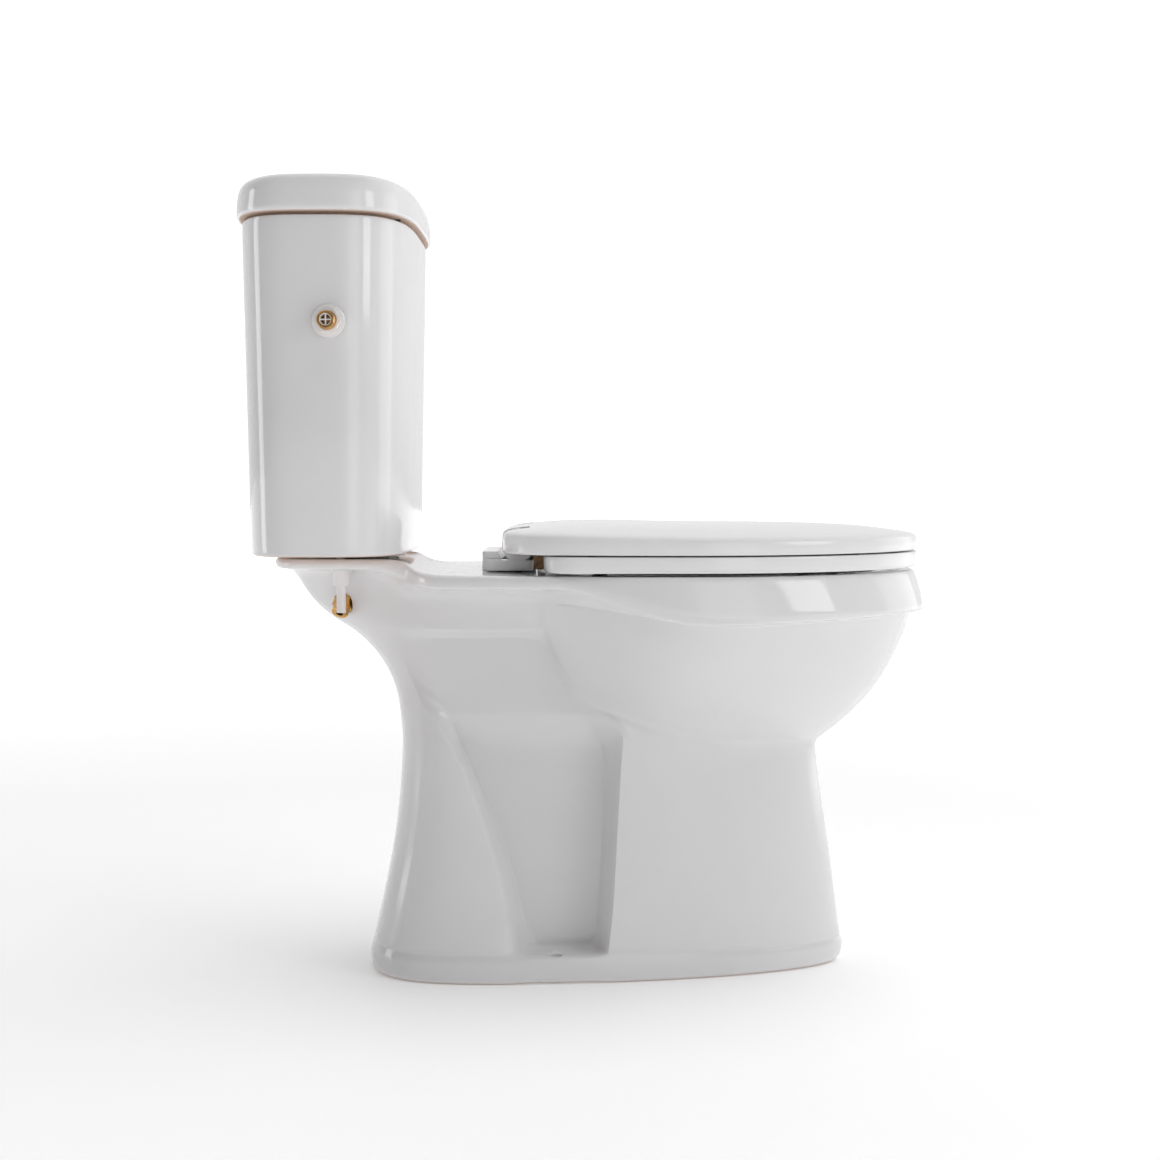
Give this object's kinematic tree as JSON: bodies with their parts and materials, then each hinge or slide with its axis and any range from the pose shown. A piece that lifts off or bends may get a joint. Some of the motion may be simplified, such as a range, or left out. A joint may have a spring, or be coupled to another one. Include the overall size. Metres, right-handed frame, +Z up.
{
  "type": "bidet toilet",
  "caption": "Close-coupled toilet with a side-fed cistern, dual flush, hinged seat and lid, and a bidet pipe and nozzle in the pan.",
  "frame": {"origin": "on the floor at the centre of the waste outlet", "axes": "+X to the front of the pan, +Y to its left side as a sitter faces, +Z up"},
  "size_m": [0.681, 0.4051, 0.7869],
  "materials": {
    "glazed_china": "gloss",
    "white_plastic": "gloss",
    "white_nylon": "satin",
    "brass": "satin",
    "chrome_metal": "polished",
    "hinge_metal": "satin",
    "rubber": "matt"
  },
  "bodies": {
    "root": {"pan": "glazed_china", "cistern": "glazed_china", "tank_gasket": "white_nylon", "tank_bolts": "white_nylon", "tank_bolt_washers": "rubber", "tank_bolt_nuts": "white_nylon", "flush_valve_body": "white_nylon", "flush_valve_nut": "white_nylon", "cistern_lid_pads": "rubber", "inlet_shank": "brass", "inlet_insert": "white_nylon", "inlet_nut": "white_nylon", "inlet_washer": "rubber", "fill_valve_body": "white_nylon", "fill_tube": "white_nylon", "float_arm_pin": "brass", "bidet_inlet": "brass", "bidet_pipe": "brass", "bidet_nozzle": "chrome_metal", "hinge_bases": "white_plastic", "hinge_housing": "white_plastic", "hinge_pins": "hinge_metal", "hinge_bolts": "white_nylon", "hinge_plugs": "rubber", "hinge_washers": "rubber"},
    "cistern_lid": {"cistern_lid": "glazed_china", "button_housing": "chrome_metal", "button_nut": "white_nylon"},
    "full_flush_button": {"full_flush_button": "chrome_metal", "full_flush_rod": "white_nylon"},
    "half_flush_button": {"half_flush_button": "chrome_metal", "half_flush_rod": "white_nylon"},
    "flush_piston": {"flush_valve_piston": "white_nylon", "flush_valve_seal": "rubber"},
    "float_arm": {"float_arm": "white_nylon", "float": "white_nylon"},
    "seat_ring": {"seat_ring": "white_plastic", "hinge_arms": "hinge_metal", "ring_bumpers": "rubber"},
    "seat_lid": {"seat_lid": "white_plastic", "lid_bumpers": "rubber"}
  },
  "joints": [
    {"name": "seat_lid_hinge", "type": "hinge", "parent": "root", "child": "seat_lid", "pos_m": [0.03, 0, 0.428], "axis": [0, -1, 0], "range_deg": [0, 101]},
    {"name": "seat_ring_hinge", "type": "hinge", "parent": "root", "child": "seat_ring", "pos_m": [0.03, 0, 0.428], "axis": [0, -1, 0], "range_deg": [0, 96]},
    {"name": "cistern_lid_lift", "type": "slide", "parent": "root", "child": "cistern_lid", "axis": [0, 0, 1], "range_m": [0, 0.2]},
    {"name": "full_flush_press", "type": "slide", "parent": "cistern_lid", "child": "full_flush_button", "axis": [0, 0, -1], "range_m": [0, 0.006], "stiffness_N_per_m": 500, "springref_m": -0.004},
    {"name": "half_flush_press", "type": "slide", "parent": "cistern_lid", "child": "half_flush_button", "axis": [0, 0, -1], "range_m": [0, 0.005], "stiffness_N_per_m": 500, "springref_m": -0.004},
    {"name": "flush_piston_lift", "type": "slide", "parent": "root", "child": "flush_piston", "axis": [0, 0, 1], "range_m": [0, 0.014]},
    {"name": "float_arm_swing", "type": "hinge", "parent": "root", "child": "float_arm", "pos_m": [-0.14, -0.1151, 0.637], "axis": [1, 0, 0], "range_deg": [0, 18]}
  ],
  "couplings": [
    {"joint": "seat_ring_hinge", "follows": "seat_lid_hinge", "ratio": 0.95},
    {"joint": "flush_piston_lift", "follows": "full_flush_press", "ratio": 2.33}
  ]
}
